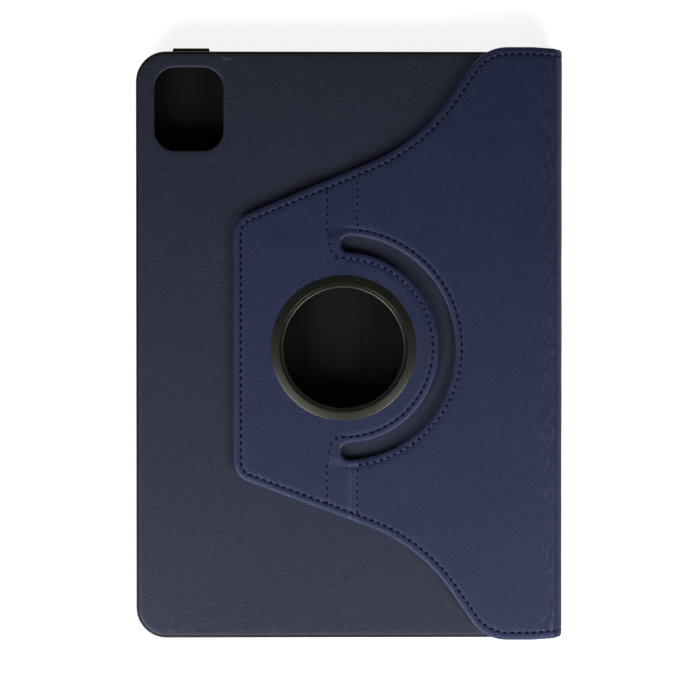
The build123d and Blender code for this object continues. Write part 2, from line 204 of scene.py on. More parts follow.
def rounded_path(points, radii):
    """A closed path through points with each corner rounded by its radius, as Vectors."""
    path = []
    for n, corner in enumerate(points):
        here = Vector(corner)
        before = Vector(points[n - 1]) - here
        after = Vector(points[(n + 1) % len(points)]) - here
        turn = math.pi - before.angle(after)
        most = LONGEST_ROUNDING * min(before.length, after.length) / math.tan(turn / 2)
        radius = min(radii[n], most)
        first = here + before.normalized() * (radius * math.tan(turn / 2))
        middle = here + (before.normalized() + after.normalized()).normalized() * (
            radius / math.cos(turn / 2)
        )
        steps = max(2, math.ceil(radius * turn / ARC_STEP))
        start = first - middle
        sense = 1 if before.cross(after) < 0 else -1
        for step in range(steps + 1):
            angle = sense * turn * step / steps
            x = start.x * math.cos(angle) - start.y * math.sin(angle)
            y = start.x * math.sin(angle) + start.y * math.cos(angle)
            path.append(middle + Vector((x, y)))
    return path


def divided(path, step):
    """The same closed path with points no further apart than step."""
    result = []
    for a, b in zip(path, path[1:] + path[:1]):
        parts = max(1, math.ceil((b - a).length / step))
        result += [a.lerp(b, k / parts) for k in range(parts)]
    return result


def drawn_in(path, inset):
    """A closed anticlockwise path, moved inwards by inset along its normals."""
    result = []
    count = len(path)
    for n, point in enumerate(path):
        along = (path[(n + 1) % count] - path[n - 1]).normalized()
        result.append(point + Vector((-along.y, along.x)) * inset)
    return result


def circle_path(middle, radius, start=0.0, sweep=360.0):
    """Points of an arc, or of a whole circle."""
    steps = math.ceil(abs(math.radians(sweep)) * radius / ARC_STEP)
    last = steps if sweep == 360.0 else steps + 1
    angles = [math.radians(start + sweep * n / steps) for n in range(last)]
    return [middle + Vector((math.cos(a), math.sin(a))) * radius for a in angles]


def flap_path():
    """The flap's outline from above, anticlockwise, running on past the spine's middle."""
    end = sheet_end + SPARE
    upper = [
        (hub.x - TONGUE_REACH, hub.y + TONGUE_HALF_HEIGHT),
        (hub.x + KNEE_FROM_HUB, flap_half - KNEE_DROP),
        (spine_outside - SHOULDER_FROM_SPINE, flap_half),
        (spine_outside - CORNER_FROM_SPINE, flap_half),
        (crease_x + CORNER_PAST_CREASE, flap_half - CORNER_DROP),
        (end, flap_half - SPINE_DROP),
    ]
    lower = [
        (end, SPINE_DROP - flap_half),
        (crease_x + CORNER_PAST_CREASE, CORNER_DROP - flap_half),
        (spine_outside - CORNER_FROM_SPINE, -flap_half),
        (spine_outside - SHOULDER_FROM_SPINE, -flap_half),
        (hub.x + KNEE_FROM_HUB, KNEE_DROP - flap_half),
        (hub.x - TONGUE_REACH, hub.y - TONGUE_HALF_HEIGHT),
    ]
    half = [TONGUE_CORNER, KNEE_RADIUS, SHOULDER_RADIUS, CORNER_RADIUS, CORNER_RADIUS,
            SPARE_CORNER]
    path = rounded_path(upper + lower, half + half[::-1])
    return divided(path[::-1], GRID)


def slot_path(margin=0.0):
    """The C-shaped slot's outline, anticlockwise, wider all round by margin."""
    reach = SLOT_WIDTH / 2 + margin
    start, stop = SLOT_START, SLOT_START + SLOT_SWEEP
    ends = [
        hub + Vector((math.cos(math.radians(a)), math.sin(math.radians(a)))) * SLOT_RADIUS
        for a in (start, stop)
    ]
    outer = circle_path(hub, SLOT_RADIUS + reach, start, SLOT_SWEEP)
    inner = circle_path(hub, SLOT_RADIUS - reach, stop, -SLOT_SWEEP)
    caps = []
    for middle, first in ((ends[1], stop), (ends[0], start + 180.0)):
        angles = [math.radians(first + 180.0 * n / CAP_STEPS) for n in range(1, CAP_STEPS)]
        caps.append([middle + Vector((math.cos(a), math.sin(a))) * reach for a in angles])
    return outer + caps[0] + inner + caps[1]


def tray_path(inset, corner):
    """A rounded rectangle inset from the tray's outer faces, anticlockwise."""
    x, y = (tray_high[0] - tray_low[0]) / 2 - inset, (tray_high[1] - tray_low[1]) / 2 - inset
    corners = [(-x, -y), (x, -y), (x, y), (-x, y)]
    points = [tray_middle + Vector(c) for c in corners]
    return divided(rounded_path(points, [corner] * 4), GRID)


def cover_path():
    """The cover's outline, anticlockwise, running on past the spine's middle."""
    left, low, high = cover_low[0], cover_low[1], cover_high[1]
    end = sheet_end + SPARE
    points = [(left, low), (end, low), (end, high), (left, high)]
    radii = [COVER_CORNER, SPARE_CORNER, SPARE_CORNER, COVER_CORNER]
    return divided(rounded_path(points, radii), GRID)


def flat_sheet(name, outline, holes, height):
    """A flat face with holes, filled from closed paths, at a height."""
    curve = bpy.data.curves.new(name, "CURVE")
    curve.dimensions = "2D"
    curve.fill_mode = "BOTH"
    for path in (outline, *holes):
        spline = curve.splines.new("POLY")
        spline.points.add(len(path) - 1)
        for point, place in zip(spline.points, path):
            point.co = (place.x, place.y, 0, 1)
        spline.use_cyclic_u = True
    only(placed(name, curve))
    bpy.ops.object.convert(target="MESH")
    obj = bpy.context.view_layer.objects.active
    with editing(obj):
        bpy.ops.mesh.remove_doubles(threshold=WELD)
        bpy.ops.mesh.normals_make_consistent(inside=False)
    if obj.data.polygons[0].normal.z < 0:
        obj.data.flip_normals()
    obj.data.transform(Matrix.Translation((0, 0, height)))
    return obj


def worked_sheet(name, outline, holes, height, profile, flat_holes=()):
    """A flat sheet with worked edges: a ring of faces for each width and rise of the profile,
    from every edge inwards, round a flat middle that ends up at height. The edges of
    flat_holes stay level."""
    edges = [(outline, 1, 1)] + [(hole, -1, 1) for hole in holes]
    edges += [(hole, -1, 0) for hole in flat_holes]
    inset, level = 0.0, height - sum(rise for width, rise in profile)
    vertices, faces = [], []
    for step, (width, rise) in enumerate([(0.0, 0.0), *profile]):
        inset, level = inset + width, level + rise
        back = sum(len(path) for path, way, worked in edges)
        for path, way, worked in edges:
            count = len(path)
            here = len(vertices)
            lift = level if worked else height
            vertices += [(p.x, p.y, lift) for p in drawn_in(path, way * inset)]
            if step:
                for n in range(count):
                    a, b = here + n, here + (n + 1) % count
                    quad = (a - back, b - back, b, a)
                    faces.append(quad if way > 0 else quad[::-1])
    rim = mesh_object(name, vertices, [], faces)
    middle = flat_sheet(
        name + "_middle",
        drawn_in(outline, inset),
        [drawn_in(hole, -inset) for hole in (*holes, *flat_holes)],
        height,
    )
    only(rim)
    middle.select_set(True)
    bpy.ops.object.join()
    with editing(rim):
        bpy.ops.mesh.remove_doubles(threshold=2 * WELD)
    return rim


def drop_edges(obj, depth):
    """Extrude the sheet's open edges straight down, as a turned edge hangs."""
    with editing(obj):
        bpy.ops.mesh.select_mode(type="EDGE")
        bpy.ops.mesh.select_all(action="DESELECT")
        bpy.ops.mesh.select_non_manifold(
            extend=False, use_wire=False, use_boundary=True, use_multi_face=False,
            use_non_contiguous=False, use_verts=False,
        )
        bpy.ops.mesh.extrude_edges_move(TRANSFORM_OT_translate={"value": (0, 0, -depth)})


def cut_grid(obj, xs, ys):
    """Cut a sheet along lines of constant x and y, so that it can be shaped between them."""
    with editing(obj):
        for places, normal in ((xs, (1, 0, 0)), (ys, (0, 1, 0))):
            for place in places:
                bpy.ops.mesh.select_all(action="SELECT")
                bpy.ops.mesh.bisect(plane_co=[place * n for n in normal], plane_no=normal)


def cut_off(obj, x):
    """Cut away what lies past x, and close the cut."""
    with editing(obj):
        bpy.ops.mesh.bisect(
            plane_co=(x, 0, 0), plane_no=(1, 0, 0), clear_outer=True, use_fill=True
        )


def steps_between(low, high, pitch):
    """Evenly spaced places strictly between two ends."""
    count = max(1, math.ceil((high - low) / pitch))
    return [low + (high - low) * n / count for n in range(1, count)]


def ramp(value, start, stop):
    """0 to 1, with level ends, as a value goes from start to stop."""
    share = min(max((value - start) / (stop - start), 0.0), 1.0)
    return share * share * (3 - 2 * share)


def along_spine(u, depth, top):
    """Where a point of the flat leather lies once it is rolled round the spine: its x and z."""
    if u <= kink_x:
        x, z = u, flap_top - depth
    elif u <= bulge_start:
        angle = (u - kink_x) / kink_radius
        x = kink_x + (kink_radius - depth) * math.sin(angle)
        z = flap_top - kink_radius + (kink_radius - depth) * math.cos(angle)
    else:
        angle = EIGHTH + (u - bulge_start) / bulge_radius
        x = spine_outside - bulge_radius + (bulge_radius - depth) * math.sin(angle)
        z = flap_top / 2 + (bulge_radius - depth) * math.cos(angle)
    return (x, z) if top else (x, flap_top - z)


def spine_wave(y):
    """How far the soft spine wanders in from a straight line."""
    wave = 0.1 * noise.noise(Vector((3.1, y / (38 * MM), 0.4)))
    wave += 0.06 * noise.noise(Vector((8.7, y / (11 * MM), 1.9)))
    return (wave - 0.1) * MM


def roll_up(obj, top, thin=0.0, shallow=None):
    """Roll a flat sheet round the spine. thin brings a lining out by a board's thickness past
    the boards, and shallow is the depth that a turned edge keeps there."""
    for vertex in obj.data.vertices:
        u, y, height = vertex.co
        depth = flap_top - height
        past = ramp(u, crease_x, crease_x + BOARD_END)
        depth -= thin * past
        if shallow is not None and depth > shallow:
            depth += (shallow - depth) * past
        x, z = along_spine(u, depth, top)
        wave = spine_wave(y) * ramp(u, kink_x, kink_x + 3 * MM)
        vertex.co = (x + wave, y, z)


# ---- Stitches ----------------------------------------------------------------------------


def thread_shape():
    """One stitch along X: a low loop of thread that dives into its holes at both ends."""
    half, width, thick = STITCH_LENGTH / 2, STITCH_WIDTH / 2, STITCH_THICKNESS / 2
    sections = [(-1.0, 0.25, -0.6), (-0.8, 0.8, 0.1), (-0.3, 1.0, 0.55), (0.3, 1.0, 0.55),
                (0.8, 0.8, 0.1), (1.0, 0.25, -0.6)]
    sides = 6
    vertices, faces = [], []
    for place, size, rise in sections:
        for n in range(sides):
            angle = 2 * math.pi * n / sides
            vertices.append((
                place * half,
                math.cos(angle) * width * size,
                math.sin(angle) * thick * 0.7 * size + rise * thick,
            ))
    for ring in range(len(sections) - 1):
        for n in range(sides):
            a, b = ring * sides + n, ring * sides + (n + 1) % sides
            faces.append((a, a + sides, b + sides, b))
    faces.append(tuple(range(sides)))
    faces.append(tuple(reversed(range(len(vertices) - sides, len(vertices)))))
    return vertices, faces


def stitch_places(points):
    """Middle and direction of each stitch along an open path."""
    lengths = [(b - a).length for a, b in zip(points, points[1:])]
    total = sum(lengths)
    count = max(1, round(total / STITCH_PITCH))
    places, n, gone = [], 0, 0.0
    for k in range(count):
        wanted = total * (k + 0.5) / count
        while gone + lengths[n] < wanted and n < len(lengths) - 1:
            gone += lengths[n]
            n += 1
        along = (points[n + 1] - points[n]).normalized()
        places.append((points[n] + along * (wanted - gone), along))
    return places


def stitching(name, paths, height):
    """Every stitch along some flat paths, as one mesh. height(place) is the stitch's height."""
    shape, shape_faces = thread_shape()
    rng = random.Random(name)
    vertices, faces = [], []
    for path in paths:
        for place, along in stitch_places(path):
            tilt = math.radians(rng.uniform(-STITCH_TILT, STITCH_TILT))
            cos, sin = math.cos(tilt), math.sin(tilt)
            way = Vector((along.x * cos - along.y * sin, along.x * sin + along.y * cos))
            side = Vector((-way.y, way.x))
            first = len(vertices)
            lift = height(place)
            for x, y, z in shape:
                spot = place + way * x + side * y
                vertices.append((spot.x, spot.y, lift + z))
            faces += [tuple(first + n for n in face) for face in shape_faces]
    obj = mesh_object(name, vertices, [], faces)
    smooth(obj, 60)
    return obj


def edge_stitch_line(outline):
    """The line of stitches along a sheet's edge, from the spine round and back to it."""
    line = drawn_in(outline, STITCH_INSET)
    start = max(range(len(line)), key=lambda n: line[n].x)
    line = line[start:] + line[:start]
    on_case = [n for n, point in enumerate(line) if point.x < sheet_end]
    return line[on_case[0] : on_case[-1] + 1]


# ---- Materials ---------------------------------------------------------------------------


def hex_colour(code):
    """An sRGB hex colour as linear RGBA."""
    channels = [int(code[n : n + 2], 16) / 255 for n in (0, 2, 4)]
    linear = [c / 12.92 if c <= 0.04045 else ((c + 0.055) / 1.055) ** 2.4 for c in channels]
    return (*linear, 1.0)


# The colour sockets of a Mix node share their names with its other sockets
MIX_A, MIX_B, MIX_RESULT = 6, 7, 2


def set_inputs(tree, node, inputs):
    """Give a node its inputs, as values or as links from other sockets."""
    for name, value in inputs.items():
        if isinstance(value, bpy.types.NodeSocket):
            tree.links.new(value, node.inputs[name])
        else:
            node.inputs[name].default_value = value


def add_node(tree, kind, settings, inputs):
    """Add a node with its settings and its inputs."""
    node = tree.nodes.new(kind)
    for name, value in settings.items():
        setattr(node, name, value)
    set_inputs(tree, node, inputs)
    return node


def new_material(name):
    """A material with its tree cleared, its shader, and the object's coordinates."""
    material = bpy.data.materials.new(name)
    material.use_nodes = True
    tree = material.node_tree
    tree.nodes.clear()
    output = tree.nodes.new("ShaderNodeOutputMaterial")
    shader = tree.nodes.new("ShaderNodeBsdfPrincipled")
    tree.links.new(shader.outputs["BSDF"], output.inputs["Surface"])
    where = tree.nodes.new("ShaderNodeTexCoord").outputs["Object"]
    return material, tree, shader, where


# A Wave texture of scale 1 repeats at this distance
WAVE_PERIOD = 0.314


def leather_material(name, light, dark, wrinkle_axis, roughness, gloss=0.5, sheen=0.08):
    """Polyurethane-coated leather, embossed by a roller: a fine pebble grain with short
    wrinkles, and a low sheen where the coating is polished by handling."""
    material, tree, shader, where = new_material(name)
    # pebbles about 1 mm across
    pebbles = add_node(tree, "ShaderNodeTexVoronoi", {"feature": "DISTANCE_TO_EDGE"},
                       {"Vector": where, "Scale": 1 / (0.95 * MM), "Randomness": 0.9})
    grain = add_node(tree, "ShaderNodeTexNoise", {},
                     {"Vector": where, "Scale": 1 / (0.6 * MM), "Detail": 3.0})
    # wrinkles about 8 mm long and 2 mm wide
    long, wide, deep = 1 / (8 * MM), 1 / (2.2 * MM), 1 / (3 * MM)
    stretch = (wide, long, deep) if wrinkle_axis == "Y" else (long, wide, deep)
    stretched = add_node(tree, "ShaderNodeMapping", {}, {"Vector": where, "Scale": stretch})
    wrinkles = add_node(tree, "ShaderNodeTexNoise", {},
                        {"Vector": stretched.outputs["Vector"], "Scale": 1.0, "Detail": 4.0,
                         "Roughness": 0.6, "Distortion": 0.6})
    creased = add_node(tree, "ShaderNodeMapRange", {},
                       {"Value": wrinkles.outputs["Fac"], "From Min": 0.58, "From Max": 0.7,
                        "To Min": 1.0, "To Max": 0.0})
    # slow change of tone over about 60 mm
    cloud = add_node(tree, "ShaderNodeTexNoise", {},
                     {"Vector": where, "Scale": 1 / (60 * MM), "Detail": 2.0})
    low = add_node(tree, "ShaderNodeMapRange", {},
                   {"Value": pebbles.outputs["Distance"], "From Min": 0.0, "From Max": 0.18})
    tone = add_node(tree, "ShaderNodeMath", {"operation": "MULTIPLY_ADD"},
                    {0: cloud.outputs["Fac"], 1: 0.5, 2: 0.2})
    tone = add_node(tree, "ShaderNodeMath", {"operation": "MULTIPLY_ADD", "use_clamp": True},
                    {0: low.outputs["Result"], 1: 0.35, 2: tone.outputs["Value"]})
    colour = add_node(tree, "ShaderNodeMix", {"data_type": "RGBA"},
                      {"Factor": tone.outputs["Value"], MIX_A: hex_colour(dark),
                       MIX_B: hex_colour(light)})
    rough = add_node(tree, "ShaderNodeMapRange", {},
                     {"Value": grain.outputs["Fac"], "To Min": roughness - 0.07,
                      "To Max": roughness + 0.09})
    # the bottoms of the wrinkles are never polished
    rough = add_node(tree, "ShaderNodeMath", {"operation": "MULTIPLY_ADD"},
                     {0: creased.outputs["Result"], 1: -0.1, 2: rough.outputs["Result"]})
    rough = add_node(tree, "ShaderNodeMath", {"operation": "ADD"},
                     {0: rough.outputs["Value"], 1: 0.1})
    bump_grain = add_node(tree, "ShaderNodeBump", {},
                          {"Height": low.outputs["Result"], "Strength": 0.5,
                           "Distance": 0.1 * MM})
    bump_fine = add_node(tree, "ShaderNodeBump", {},
                         {"Height": grain.outputs["Fac"], "Strength": 0.3,
                          "Distance": 0.1 * MM, "Normal": bump_grain.outputs["Normal"]})
    bump = add_node(tree, "ShaderNodeBump", {},
                    {"Height": creased.outputs["Result"], "Strength": 0.3,
                     "Distance": 0.12 * MM, "Normal": bump_fine.outputs["Normal"]})
    set_inputs(tree, shader, {
        "Base Color": colour.outputs[MIX_RESULT],
        "Roughness": rough.outputs["Value"],
        "Normal": bump.outputs["Normal"],
        "IOR": 1.5,
        "Specular IOR Level": gloss,
        "Specular Tint": hex_colour("dde3ff"),
        "Sheen Weight": sheen,
        "Sheen Roughness": 0.5,
        "Sheen Tint": hex_colour("aeb8e6"),
    })
    return material


def thread_material():
    """Bonded polyester sewing thread, navy and almost black, with a twisted lay."""
    material, tree, shader, where = new_material("bonded_polyester_thread")
    # the ply shows as slanting ridges 0.35 mm apart
    lay = add_node(tree, "ShaderNodeTexWave", {"bands_direction": "DIAGONAL"},
                   {"Vector": where, "Scale": WAVE_PERIOD / (0.35 * MM), "Distortion": 0.4})
    colour = add_node(tree, "ShaderNodeMix", {"data_type": "RGBA"},
                      {"Factor": lay.outputs["Fac"], MIX_A: hex_colour("020312"),
                       MIX_B: hex_colour("060a24")})
    bump = add_node(tree, "ShaderNodeBump", {},
                    {"Height": lay.outputs["Fac"], "Strength": 0.4, "Distance": 0.05 * MM})
    set_inputs(tree, shader, {
        "Base Color": colour.outputs[MIX_RESULT],
        "Normal": bump.outputs["Normal"],
        "Roughness": 0.9,
        "Specular IOR Level": 0.08,
    })
    return material


def microfibre_material():
    """Brushed polyester microfibre, black, with a short nap that lies in soft patches."""
    material, tree, shader, where = new_material("brushed_microfibre")
    nap = add_node(tree, "ShaderNodeTexNoise", {},
                   {"Vector": where, "Scale": 1 / (0.5 * MM), "Detail": 5.0, "Roughness": 0.7})
    patch = add_node(tree, "ShaderNodeTexNoise", {},
                     {"Vector": where, "Scale": 1 / (22 * MM), "Detail": 2.0})
    mixed = add_node(tree, "ShaderNodeMath", {"operation": "MULTIPLY_ADD", "use_clamp": True},
                     {0: patch.outputs["Fac"], 1: 0.5, 2: 0.1})
    mixed = add_node(tree, "ShaderNodeMath", {"operation": "MULTIPLY_ADD", "use_clamp": True},
                     {0: nap.outputs["Fac"], 1: 0.4, 2: mixed.outputs["Value"]})
    colour = add_node(tree, "ShaderNodeMix", {"data_type": "RGBA"},
                      {"Factor": mixed.outputs["Value"], MIX_A: hex_colour("060605"),
                       MIX_B: hex_colour("10100f")})
    bump = add_node(tree, "ShaderNodeBump", {},
                    {"Height": nap.outputs["Fac"], "Strength": 0.5, "Distance": 0.12 * MM})
    set_inputs(tree, shader, {
        "Base Color": colour.outputs[MIX_RESULT],
        "Normal": bump.outputs["Normal"],
        "Roughness": 0.95,
        "Specular IOR Level": 0.15,
        "Sheen Weight": 0.04,
        "Sheen Roughness": 0.6,
    })
    return material


def shell_material():
    """Moulded thermoplastic polyurethane, satin black, with the fine sparked texture of its
    mould."""
    material, tree, shader, where = new_material("moulded_satin_plastic")
    # spark erosion leaves pits about 0.2 mm wide, drawn at 0.4 mm so that they show
    pits = add_node(tree, "ShaderNodeTexNoise", {},
                    {"Vector": where, "Scale": 1 / (0.4 * MM), "Detail": 4.0})
    smudge = add_node(tree, "ShaderNodeTexNoise", {},
                      {"Vector": where, "Scale": 1 / (25 * MM), "Detail": 2.0})
    rough = add_node(tree, "ShaderNodeMapRange", {},
                     {"Value": smudge.outputs["Fac"], "To Min": 0.38, "To Max": 0.55})
    colour = add_node(tree, "ShaderNodeMix", {"data_type": "RGBA"},
                      {"Factor": smudge.outputs["Fac"], MIX_A: hex_colour("0b0c0d"),
                       MIX_B: hex_colour("151617")})
    bump = add_node(tree, "ShaderNodeBump", {},
                    {"Height": pits.outputs["Fac"], "Strength": 0.25, "Distance": 0.04 * MM})
    set_inputs(tree, shader, {
        "Base Color": colour.outputs[MIX_RESULT],
        "Roughness": rough.outputs["Result"],
        "Normal": bump.outputs["Normal"],
        "IOR": 1.5,
    })
    return material


def ring_material():
    """Moulded ABS, black, with a soft gloss and hairline scuffs that run round it."""
    material, tree, shader, where = new_material("moulded_black_abs")
    centred = add_node(tree, "ShaderNodeMapping", {},
                       {"Vector": where, "Location": (-hub.x, -hub.y, 0)})
    rings = add_node(tree, "ShaderNodeTexWave",
                     {"wave_type": "RINGS", "rings_direction": "Z", "wave_profile": "SAW"},
                     {"Vector": centred.outputs["Vector"], "Scale": WAVE_PERIOD / (0.45 * MM),
                      "Distortion": 1.5, "Detail": 2.0})
    scuffs = add_node(tree, "ShaderNodeTexNoise", {},
                      {"Vector": where, "Scale": 1 / (6 * MM), "Detail": 3.0})
    mixed = add_node(tree, "ShaderNodeMath", {"operation": "MULTIPLY"},
                     {0: rings.outputs["Fac"], 1: scuffs.outputs["Fac"]})
    rough = add_node(tree, "ShaderNodeMapRange", {},
                     {"Value": mixed.outputs["Value"], "To Min": 0.33, "To Max": 0.42})
    colour = add_node(tree, "ShaderNodeMix", {"data_type": "RGBA"},
                      {"Factor": scuffs.outputs["Fac"], MIX_A: hex_colour("0b0b09"),
                       MIX_B: hex_colour("12120f")})
    bump = add_node(tree, "ShaderNodeBump", {},
                    {"Height": mixed.outputs["Value"], "Strength": 0.08,
                     "Distance": 0.02 * MM})
    set_inputs(tree, shader, {
        "Base Color": colour.outputs[MIX_RESULT],
        "Roughness": rough.outputs["Result"],
        "Normal": bump.outputs["Normal"],
        "IOR": 1.54,
        "Specular IOR Level": 0.8,
        "Specular Tint": hex_colour("f4f4e2"),
    })
    return material


def board_material():
    """Pressed grey board, seen only where a case is cut open."""
    material, tree, shader, where = new_material("pressed_grey_board")
    fibres = add_node(tree, "ShaderNodeTexNoise", {},
                      {"Vector": where, "Scale": 1 / (1.5 * MM), "Detail": 6.0})
    colour = add_node(tree, "ShaderNodeMix", {"data_type": "RGBA"},
                      {"Factor": fibres.outputs["Fac"], MIX_A: hex_colour("6e675c"),
                       MIX_B: hex_colour("968d7e")})
    set_inputs(tree, shader, {"Base Color": colour.outputs[MIX_RESULT], "Roughness": 0.95})
    return material


def plated_material():
    """Nickel-plated steel, dull from tumbling."""
    material, tree, shader, where = new_material("nickel_plated_steel")
    tumbled = add_node(tree, "ShaderNodeTexNoise", {},
                       {"Vector": where, "Scale": 1 / (0.8 * MM), "Detail": 3.0})
    rough = add_node(tree, "ShaderNodeMapRange", {},
                     {"Value": tumbled.outputs["Fac"], "To Min": 0.28, "To Max": 0.42})
    set_inputs(tree, shader, {
        "Base Color": hex_colour("b9b6ae"),
        "Roughness": rough.outputs["Result"],
        "Metallic": 1.0,
    })
    return material


navy_leather = leather_material("navy_pu_leather", "1b2140", "131830", "Y", 0.48)
# Painted shade over the spine: a copy of the navy leather, a little more purple, duller and
# without sheen, for the part past the kink, where the spine turns away from the light
PAINTED_SHADE_FROM_KINK = 0.4 * MM
painted_shade_spine_leather = leather_material(
    "navy_pu_leather_painted_shade", "1c1e40", "161733", "Y", 0.62, gloss=0.2, sheen=0.0
)
back_leather = leather_material("blue_grey_pu_leather", "1d202f", "151824", "X", 0.5)
thread = thread_material()
microfibre = microfibre_material()
satin_plastic = shell_material()
soft_gloss_plastic = ring_material()
grey_board = board_material()
plated_steel = plated_material()


def dress(obj, material):
    """Give a piece its one material."""
    obj.data.materials.clear()
    obj.data.materials.append(material)


def dress_leather(obj):
    """Navy leather, with a duller, more purple copy of it on the part past the kink as painted
    shade where the spine turns away from the light.
    """
    dress(obj, navy_leather)
    obj.data.materials.append(painted_shade_spine_leather)
    # faces past the kink get the copy that paints the spine's shade
    for face in obj.data.polygons:
        if face.center.x > kink_x + PAINTED_SHADE_FROM_KINK:
            face.material_index = 1


# ---- Back flap ---------------------------------------------------------------------------

GROOVE = 0.2 * MM
EDGE_PROFILE = [  # width and rise of each step from the edge inwards
    (0.12 * MM, 0.34 * MM),
    (0.22 * MM, 0.26 * MM),
    (0.4 * MM, 0.2 * MM),
    (0.66 * MM, 0.12 * MM),
    (1.0 * MM, 0.05 * MM),
    (0.45 * MM, -GROOVE * 0.6),
    (0.35 * MM, -GROOVE * 0.4),
    (0.35 * MM, GROOVE * 0.4),
    (0.55 * MM, GROOVE * 0.6),
    (1.2 * MM, 0.06 * MM),
]
EDGE_RISE = sum(rise for width, rise in EDGE_PROFILE)


# Heights of the worked leather, in millimetres
STRIP_SUNK = 0.5
RIDGE_ABOVE, RIDGE_BELOW = 0.3, 0.6  # where the leather creases, above and below the slot
SLOW_WAVES = ((0.2, 34, 0), (0.05, 9, 5))  # height, length, place in the noise
WRINKLES = ((0.3, 1.5, 8, 2.0), (0.2, 1.1, 3.4, 7.0))  # height, width, length, place
LEVEL_ROUND_HUB = 31.5 * MM


def fold_height(x, y):
    """Height of the flap's leather over its flat level at a place: the sunk fold strips above
    and below the slot, the ridge where the leather creases, slow waves, and the wrinkles that
    opening the cover leaves beside the spine."""
    from_hub = Vector((x, y)) - hub
    outside = ramp(from_hub.length, SLOT_RADIUS + 2 * MM, SLOT_RADIUS + 7 * MM)
    strip = ramp(from_hub.x, FOLD_LEFT - 0.3 * MM, FOLD_LEFT + 1.3 * MM)
    strip *= ramp(from_hub.x, FOLD_RIGHT + 0.3 * MM, FOLD_RIGHT - 1.3 * MM)
    crease = math.exp(-(((from_hub.x - FOLD_CREASE) / (0.9 * MM)) ** 2))
    ridge = RIDGE_BELOW if from_hub.y < 0 else RIDGE_ABOVE
    height = (ridge * crease - STRIP_SUNK) * strip * outside
    flat = ramp(x, kink_x - 1 * MM, kink_x - 8 * MM)
    for rise, length, layer in SLOW_WAVES:
        height += rise * flat * noise.noise(Vector((x, y, layer * MM)) / (length * MM))
    height *= ramp(from_hub.length, LEVEL_ROUND_HUB, LEVEL_ROUND_HUB + 4 * MM)
    # no stitch groove round the ends of the slot
    for end, way in ((SLOT_START, -1), (SLOT_START + SLOT_SWEEP, 1)):
        turn = math.radians(end)
        from_end = from_hub - Vector((math.cos(turn), math.sin(turn))) * SLOT_RADIUS
        past = way * from_end.dot(Vector((-math.sin(turn), math.cos(turn))))
        apart = abs(from_end.length - SLOT_WIDTH / 2 - STITCH_INSET) / (0.9 * MM)
        height += GROOVE / MM * max(0.0, 1 - apart) * ramp(past, 0.0, 1.5 * MM)
    near_spine = ramp(x, kink_x - 7 * MM, kink_x - 4 * MM)
    near_spine *= ramp(x, kink_x + 2 * MM, kink_x - 1 * MM)
    for rise, width, length, layer in WRINKLES:
        place = Vector((x / (width * MM), y / (length * MM), layer))
        height += rise * near_spine * noise.noise(place)
    return height * MM


flap_outline = flap_path()
slot_outline = slot_path()
plate_hole = circle_path(hub, PLATE_HOLE)

flap_leather = worked_sheet(
    "flap_leather", flap_outline, (slot_outline,), flap_top, EDGE_PROFILE, (plate_hole,)
)
drop_edges(flap_leather, flap_top - flap_low[2] - EDGE_RISE)
fold_lines = [hub.x + line + side for line in (FOLD_LEFT, FOLD_RIGHT, FOLD_CREASE)
              for side in (-1.2 * MM, -0.6 * MM, 0.0, 0.6 * MM, 1.2 * MM)]
# Even cuts stop at flat_end, and closer ones let a sheet bend round the spine
flat_end = kink_x - 6.3 * MM
rolling = [kink_x - 6.0 * MM + 0.45 * MM * n for n in range(12)]
rolling += [crease_x, crease_x + 0.18 * MM]
rolling += [kink_x + (bulge_start - kink_x) * n / 4 for n in range(5)]
rolling += [bulge_start + (sheet_end - bulge_start) * n / 10 for n in range(1, 10)]
cut_grid(
    flap_leather,
    steps_between(flap_low[0], flat_end, GRID) + fold_lines + rolling,
    steps_between(flap_low[1], flap_high[1], 1.6 * MM),
)
for vertex in flap_leather.data.vertices:
    vertex.co.z += fold_height(vertex.co.x, vertex.co.y)
apply_modifier(flap_leather, "SOLIDIFY", thickness=SKIN, offset=-1.0)
cut_off(flap_leather, sheet_end)
roll_up(flap_leather, True, shallow=TURNED_EDGE)
smooth(flap_leather, 50)
dress_leather(flap_leather)
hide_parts("flap_skin", "flap_crease", "spine_skin")

# The leather bends between its kink and a line 2 mm in from the spine's outside
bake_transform(flap_leather)

# Stitch lines: along the edge, round the slot, and along the fold strips
STITCH_SUNK = 0.25 * MM
COVER_STITCH_SUNK = 0.42 * MM
INNER_RING_PAST = 10.0  # degrees, past each end of the slot
OUTER_RING_SHORT = 3.5  # degrees, short of each end
STRIP_RUN = 13 * MM  # of the strips' stitches past the tongue's corner


def stitch_height(place):
    """Height of the groove's floor at a stitch on the flap."""
    return flap_top + fold_height(place.x, place.y) - STITCH_SUNK


ring_reach = SLOT_WIDTH / 2 + SLOT_STITCH_INSET
inner_ring = circle_path(
    hub, SLOT_RADIUS - ring_reach, SLOT_START - INNER_RING_PAST, SLOT_SWEEP + 2 * INNER_RING_PAST
)
outer_ring = circle_path(
    hub, SLOT_RADIUS + ring_reach, SLOT_START + OUTER_RING_SHORT, SLOT_SWEEP - 2 * OUTER_RING_SHORT
)


def fold_stitches(side):
    """The two stitch lines of the fold strip above (side 1) or below (side -1) the slot."""
    left, right = hub.x + FOLD_LEFT, hub.x + FOLD_RIGHT
    edge = hub.y + side * (TONGUE_HALF_HEIGHT + STRIP_RUN)
    slot_end = hub + Vector((0, side * SLOT_RADIUS))
    round_end = [
        slot_end + Vector((math.cos(a), side * math.sin(a))) * ring_reach
        for a in [math.radians(255 - 15 * n) for n in range(6)]
    ]
    round_end = [p for p in round_end if p.x < hub.x - 1 * MM]
    inner = round_end + [Vector((left, slot_end.y + side * 6 * MM)), Vector((left, edge))]
    outer = [
        Vector((right + 0.6 * MM, slot_end.y + side * 6.6 * MM)),
        Vector((right, slot_end.y + side * 8.4 * MM)),
        Vector((right, edge + side * 4 * MM)),
    ]
    return [inner, outer]


